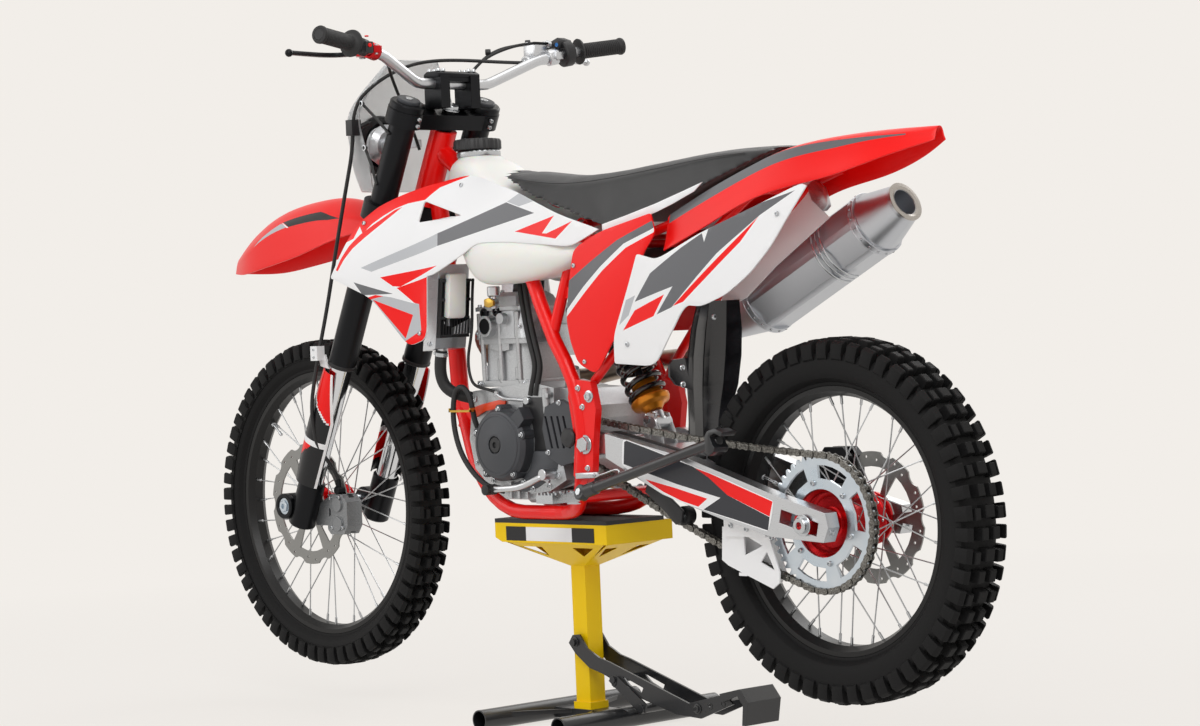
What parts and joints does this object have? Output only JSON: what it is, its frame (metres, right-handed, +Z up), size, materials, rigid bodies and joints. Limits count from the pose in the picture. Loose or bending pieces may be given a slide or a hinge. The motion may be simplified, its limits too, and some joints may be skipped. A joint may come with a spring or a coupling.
{
  "type": "dirt bike on a lift stand",
  "caption": "Off-road motorcycle held up by a paddock lift stand: steered upside-down fork, spoked wheels that spin, chain drive, folding side stand.",
  "frame": {"origin": "on the floor below the middle of the bike's box, where the lift stand's feet rest", "axes": "+X forward, +Y to the rider's left, +Z up"},
  "size_m": [2.1644, 0.813, 1.3748],
  "materials": {
    "frame_paint": "glossy powder coat",
    "stand_paint": "semi-gloss paint",
    "stand_black": "satin powder coat",
    "black_metal": "black anodised",
    "rim_black": "black anodised",
    "hub_red": "red anodised",
    "cast_alloy": "cast and bead blasted",
    "dark_alloy": "dark grey satin",
    "bright_alloy": "brushed",
    "steel": "zinc plated",
    "chain_steel": "oiled",
    "chrome": "hard chromed",
    "exhaust_steel": "stainless, heat tinted",
    "tyre": "matt",
    "rubber": "matt",
    "tank_plastic": "natural white, translucent",
    "white_plastic": "glossy",
    "red_plastic": "glossy",
    "black_plastic": "grained",
    "smoke_plastic": "translucent grey",
    "seat_cover": "smooth vinyl"
  },
  "bodies": {
    "frame": {"main_frame": "frame_paint", "subframe": "frame_paint", "swingarm": "bright_alloy", "rear_axle": "steel", "chain": "chain_steel", "chain_guide": "white_plastic", "shock": "black_metal", "engine_cases": "cast_alloy", "cylinder": "cast_alloy", "ignition_cover": "dark_alloy", "sprocket_cover": "dark_alloy", "clutch_cover": "dark_alloy", "drive_sprocket": "steel", "carburettor": "cast_alloy", "airbox": "black_plastic", "radiators": "bright_alloy", "coolant_hoses": "rubber", "exhaust_pipe": "exhaust_steel", "muffler": "bright_alloy", "fuel_tank": "tank_plastic", "fuel_cap": "black_plastic", "shrouds": "white_plastic", "side_panels": "red_plastic", "number_panels": "white_plastic", "seat": "seat_cover", "rear_fender": "red_plastic", "mud_flap": "rubber", "rear_caliper": "dark_alloy", "footpegs": "steel", "foot_controls": "bright_alloy", "stand_mat": "rubber", "stand_top": "stand_paint", "stand_base": "stand_black", "stand_lever": "stand_black"},
    "steering": {"triple_clamps": "black_metal", "fork_tubes": "black_metal", "fork_sliders": "chrome", "fork_guards": "red_plastic", "front_axle": "steel", "handlebar": "bright_alloy", "grips": "rubber", "hand_controls": "black_metal", "throttle_cables": "rubber", "headlight_mask": "smoke_plastic", "front_fender": "red_plastic", "front_caliper": "dark_alloy", "brake_hose": "rubber"},
    "front_wheel": {"front_tyre": "tyre", "front_rim": "rim_black", "front_hub": "hub_red", "front_disc": "steel"},
    "rear_wheel": {"rear_tyre": "tyre", "rear_rim": "rim_black", "rear_hub": "hub_red", "rear_disc": "steel", "rear_sprocket": "steel"},
    "side_stand": {"side_stand": "stand_black"}
  },
  "joints": [
    {"name": "steering_head", "type": "hinge", "parent": "frame", "child": "steering", "pos_m": [0.34892, 0, 1.11626], "axis": [-0.433, 0, 0.9014], "range_deg": [-40, 40]},
    {"name": "front_wheel_spin", "type": "hinge", "parent": "steering", "child": "front_wheel", "pos_m": [0.73425, 0, 0.4227], "axis": [0, 1, 0], "continuous": true},
    {"name": "rear_wheel_spin", "type": "hinge", "parent": "frame", "child": "rear_wheel", "pos_m": [-0.75275, 0, 0.41], "axis": [0, 1, 0], "continuous": true},
    {"name": "side_stand_fold", "type": "hinge", "parent": "frame", "child": "side_stand", "pos_m": [-0.20575, 0.141, 0.463], "axis": [-0.0938, -0.961, -0.26], "range_deg": [0, 109]}
  ]
}
